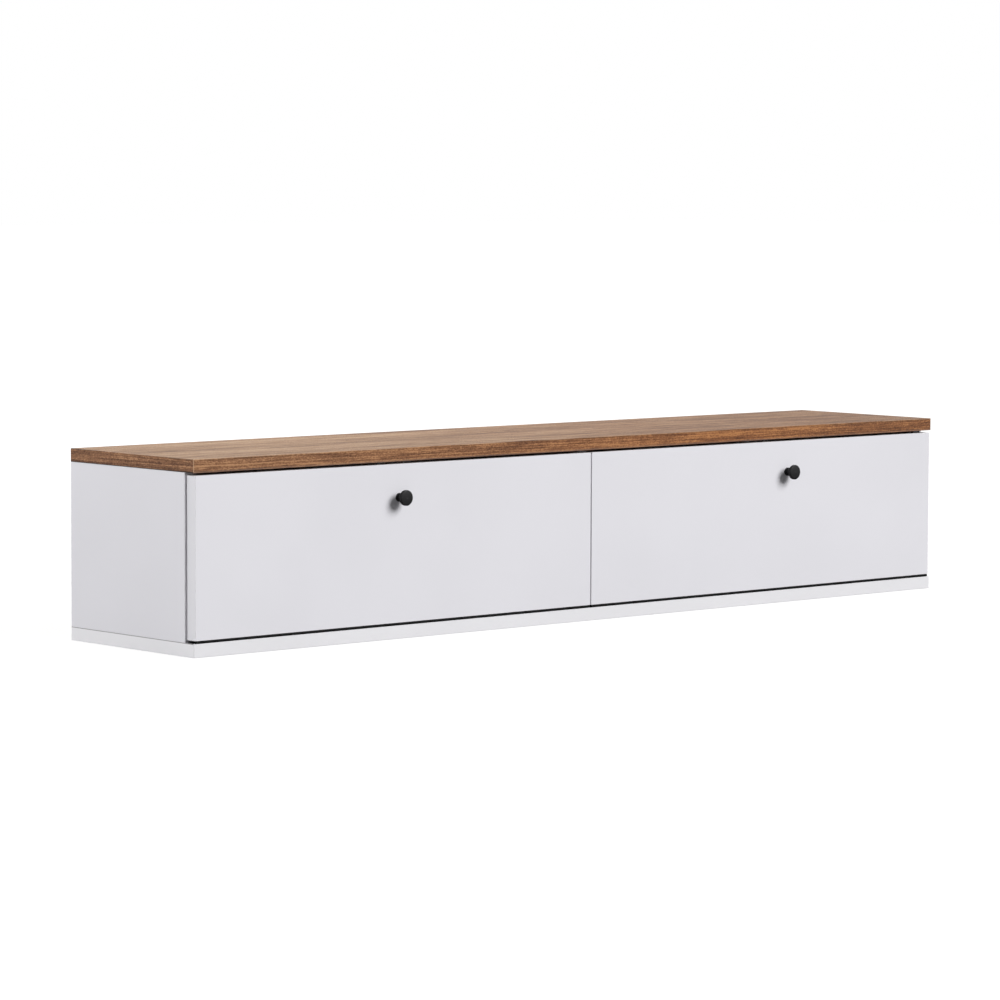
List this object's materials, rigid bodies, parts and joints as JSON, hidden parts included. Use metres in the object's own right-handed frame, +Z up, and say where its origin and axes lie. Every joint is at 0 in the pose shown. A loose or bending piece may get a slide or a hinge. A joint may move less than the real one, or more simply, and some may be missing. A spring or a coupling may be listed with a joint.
{
  "type": "tv bench",
  "caption": "Long low tv bench with a wood-decor top, white carcass and white drop-down flaps with round black knobs, magnetic catches and sliding stays.",
  "frame": {"origin": "centre of the base panel's underside, on the plane that the bench stands on", "axes": "+X along the bench, to the right seen from the front; +Y to the rear; +Z up"},
  "size_m": [1.4, 0.2875, 0.258],
  "materials": {
    "wood_decor": "matt melamine with a walnut-coloured wood decor, fine grain along the length",
    "wood_decor_band": "edge band in the same wood decor, with a slightly paler arris",
    "white_board": "matt white melamine on chipboard",
    "white_band": "matt white edge band",
    "back_sheet": "hardboard, lacquered white towards the inside, bare brown at the rear",
    "black_metal": "matt black powder coat",
    "steel": "zinc plated steel",
    "zinc": "die-cast zinc",
    "white_plastic": "white moulded plastic",
    "black_plastic": "black moulded nylon",
    "ferrite": "dark grey ferrite magnet",
    "beech": "raw fluted beech",
    "buffer_rubber": "soft translucent rubber"
  },
  "bodies": {
    "cabinet": {"top_panel": "wood_decor", "base_panel": "white_board", "centre_divider": "white_board", "divider_edge_band": "white_band", "rear_rail": "white_board", "top_front_band": "wood_decor_band", "base_front_band": "white_band", "cam_bolts": "steel", "cam_locks": "zinc", "cam_covers": "white_plastic", "dowels": "beech", "flap_buffers": "buffer_rubber", "cabinet_screws": "steel", "left_side_panel": "white_board", "left_side_edge_band": "white_band", "left_back_panel": "back_sheet", "left_top_end_band": "wood_decor_band", "left_base_end_band": "white_band", "left_hinge_fixed_leaf": "black_metal", "left_hinge_pin": "black_metal", "left_catch_housing": "white_plastic", "left_catch_magnet": "ferrite", "left_stay_plate": "steel", "right_side_panel": "white_board", "right_side_edge_band": "white_band", "right_back_panel": "back_sheet", "right_top_end_band": "wood_decor_band", "right_base_end_band": "white_band", "right_hinge_fixed_leaf": "black_metal", "right_hinge_pin": "black_metal", "right_catch_housing": "white_plastic", "right_catch_magnet": "ferrite", "right_stay_plate": "steel"},
    "left_flap": {"left_hinge_moving_leaf": "black_metal", "left_flap_panel": "white_board", "left_flap_edge_bands": "white_band", "left_flap_screws": "steel", "left_knob": "black_metal", "left_knob_screw": "steel", "left_strike_plate": "steel", "left_stay_bracket": "steel", "left_stay_pin": "steel"},
    "left_rod": {"left_stay_rod": "steel", "left_stay_stop": "black_plastic"},
    "left_swivel": {"left_stay_housing": "black_plastic", "left_stay_brake_screw": "steel"},
    "right_flap": {"right_hinge_moving_leaf": "black_metal", "right_flap_panel": "white_board", "right_flap_edge_bands": "white_band", "right_flap_screws": "steel", "right_knob": "black_metal", "right_knob_screw": "steel", "right_strike_plate": "steel", "right_stay_bracket": "steel", "right_stay_pin": "steel"},
    "right_rod": {"right_stay_rod": "steel", "right_stay_stop": "black_plastic"},
    "right_swivel": {"right_stay_housing": "black_plastic", "right_stay_brake_screw": "steel"}
  },
  "joints": [
    {"name": "left_flap_open", "type": "hinge", "parent": "cabinet", "child": "left_flap", "pos_m": [-0.3491, -0.1336, 0.0199], "axis": [1, 0, 0], "range_deg": [0, 90]},
    {"name": "left_rod_turn", "type": "hinge", "parent": "left_flap", "child": "left_rod", "pos_m": [-0.667, -0.106, 0.14181], "axis": [1, 0, 0], "range_deg": [-45, 0]},
    {"name": "left_swivel_turn", "type": "hinge", "parent": "cabinet", "child": "left_swivel", "pos_m": [-0.667, -0.04996, 0.11279], "axis": [1, 0, 0], "range_deg": [0, 45]},
    {"name": "right_flap_open", "type": "hinge", "parent": "cabinet", "child": "right_flap", "pos_m": [0.3491, -0.1336, 0.0199], "axis": [1, 0, 0], "range_deg": [0, 90]},
    {"name": "right_rod_turn", "type": "hinge", "parent": "right_flap", "child": "right_rod", "pos_m": [0.667, -0.106, 0.14181], "axis": [1, 0, 0], "range_deg": [-45, 0]},
    {"name": "right_swivel_turn", "type": "hinge", "parent": "cabinet", "child": "right_swivel", "pos_m": [0.667, -0.04996, 0.11279], "axis": [1, 0, 0], "range_deg": [0, 45]}
  ],
  "couplings": [
    {"joint": "left_rod_turn", "follows": "left_flap_open", "ratio": -0.5},
    {"joint": "left_swivel_turn", "follows": "left_flap_open", "ratio": 0.5},
    {"joint": "right_rod_turn", "follows": "right_flap_open", "ratio": -0.5},
    {"joint": "right_swivel_turn", "follows": "right_flap_open", "ratio": 0.5}
  ]
}
